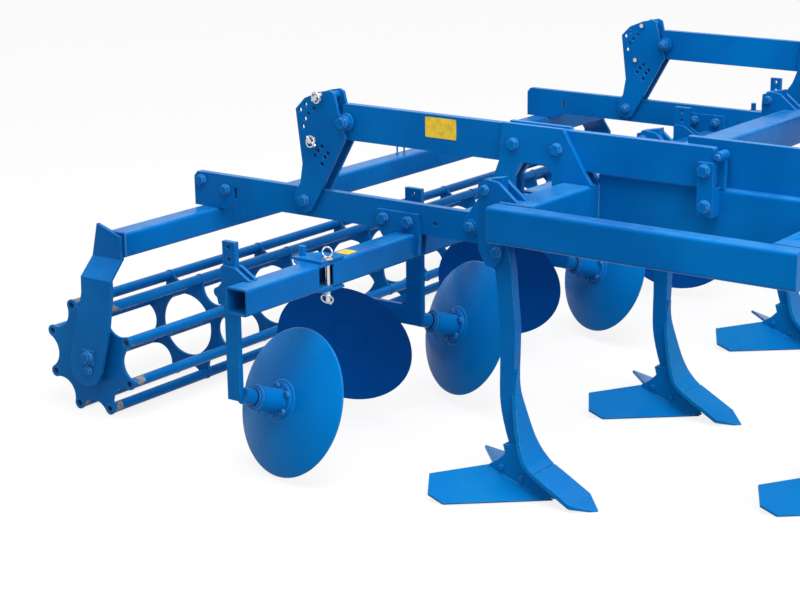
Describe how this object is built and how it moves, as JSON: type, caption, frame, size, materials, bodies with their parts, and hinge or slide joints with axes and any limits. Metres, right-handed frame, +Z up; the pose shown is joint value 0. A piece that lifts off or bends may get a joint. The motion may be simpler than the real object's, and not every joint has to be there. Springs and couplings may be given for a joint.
{
  "type": "mounted stubble cultivator",
  "caption": "Three-point mounted stubble cultivator: two rows of wing-share tines on a tube frame, with a hinged rear carrier of dished levelling discs and an open bar roller.",
  "frame": {"origin": "on the ground, under the middle of the machine's length and width", "axes": "+X the direction of travel, +Y the machine's left, +Z up"},
  "size_m": [2.7226, 3.546, 1.272],
  "materials": {
    "blue_paint": "gloss blue enamel",
    "share_paint": "blue enamel, light scuffs along the edges",
    "disc_paint": "gloss blue enamel",
    "roller_paint": "blue enamel, scuffed at the bar ends",
    "notice_foil": "blank yellow foil",
    "plated_pin": "bright zinc plate"
  },
  "bodies": {
    "frame": {"arch_brackets": "blue_paint", "arm_struts": "blue_paint", "front_shares": "share_paint", "front_tine_holders": "blue_paint", "front_tine_shanks": "blue_paint", "front_tine_tube": "blue_paint", "headstock_plates": "blue_paint", "hinge_pins": "blue_paint", "lower_link_yokes": "blue_paint", "main_rail_left": "blue_paint", "main_rail_right": "blue_paint", "rear_shares": "share_paint", "rear_tine_holders": "blue_paint", "rear_tine_shanks": "blue_paint", "rear_tine_tube": "blue_paint", "side_beam_left": "blue_paint", "side_beam_right": "blue_paint", "tower_plates": "blue_paint", "tower_stays": "blue_paint", "upper_arm_left": "blue_paint", "upper_arm_right": "blue_paint"},
    "carrier": {"adjuster_pins": "plated_pin", "adjuster_plates_left": "blue_paint", "adjuster_plates_right": "blue_paint", "disc_arm_clamps": "blue_paint", "disc_extension_left": "blue_paint", "disc_extension_right": "blue_paint", "disc_tube": "blue_paint", "disc_tube_brackets": "blue_paint", "disc_tube_lugs": "blue_paint", "disc_tube_pins": "plated_pin", "edge_disc_arms": "blue_paint", "lower_arm_left": "blue_paint", "lower_arm_right": "blue_paint", "pair_disc_arms": "blue_paint", "roller_end_arm_left": "blue_paint", "roller_end_arm_right": "blue_paint", "roller_tube": "blue_paint"},
    "roller": {"roller_bars": "roller_paint", "roller_end_stars": "roller_paint", "roller_rings": "roller_paint"},
    "disc_1": {"disc_1": "disc_paint"},
    "disc_2": {"disc_2": "disc_paint"},
    "disc_3": {"disc_3": "disc_paint"},
    "disc_4": {"disc_4": "disc_paint"},
    "disc_5": {"disc_5": "disc_paint"},
    "disc_6": {"disc_6": "disc_paint"},
    "disc_7": {"disc_7": "disc_paint"},
    "disc_8": {"disc_8": "disc_paint"}
  },
  "joints": [
    {"name": "carrier_hinge", "type": "hinge", "parent": "frame", "child": "carrier", "pos_m": [-0.0427, 0, 0.664], "axis": [0, -1, 0], "range_deg": [0, 8]},
    {"name": "roller_spin", "type": "hinge", "parent": "carrier", "child": "roller", "pos_m": [-1.1817, 0, 0.17961], "axis": [0, 1, 0], "continuous": true},
    {"name": "disc_1_spin", "type": "hinge", "parent": "carrier", "child": "disc_1", "pos_m": [-0.3127, -1.523, 0.215], "axis": [0.1966, 0.9249, -0.3256], "continuous": true},
    {"name": "disc_2_spin", "type": "hinge", "parent": "carrier", "child": "disc_2", "pos_m": [-0.4887, -1.056, 0.24], "axis": [0.3214, -0.883, -0.342], "continuous": true},
    {"name": "disc_3_spin", "type": "hinge", "parent": "carrier", "child": "disc_3", "pos_m": [-0.2797, -0.7, 0.24], "axis": [0.3563, 0.8818, -0.309], "continuous": true},
    {"name": "disc_4_spin", "type": "hinge", "parent": "carrier", "child": "disc_4", "pos_m": [-0.4887, -0.196, 0.24], "axis": [0.3214, -0.883, -0.342], "continuous": true},
    {"name": "disc_5_spin", "type": "hinge", "parent": "carrier", "child": "disc_5", "pos_m": [-0.2797, 0.16, 0.24], "axis": [0.3563, 0.8818, -0.309], "continuous": true},
    {"name": "disc_6_spin", "type": "hinge", "parent": "carrier", "child": "disc_6", "pos_m": [-0.2797, 0.7, 0.24], "axis": [0.3563, -0.8818, -0.309], "continuous": true},
    {"name": "disc_7_spin", "type": "hinge", "parent": "carrier", "child": "disc_7", "pos_m": [-0.4887, 1.056, 0.24], "axis": [0.3214, 0.883, -0.342], "continuous": true},
    {"name": "disc_8_spin", "type": "hinge", "parent": "carrier", "child": "disc_8", "pos_m": [-0.3127, 1.523, 0.215], "axis": [0.1966, -0.9249, -0.3256], "continuous": true}
  ]
}
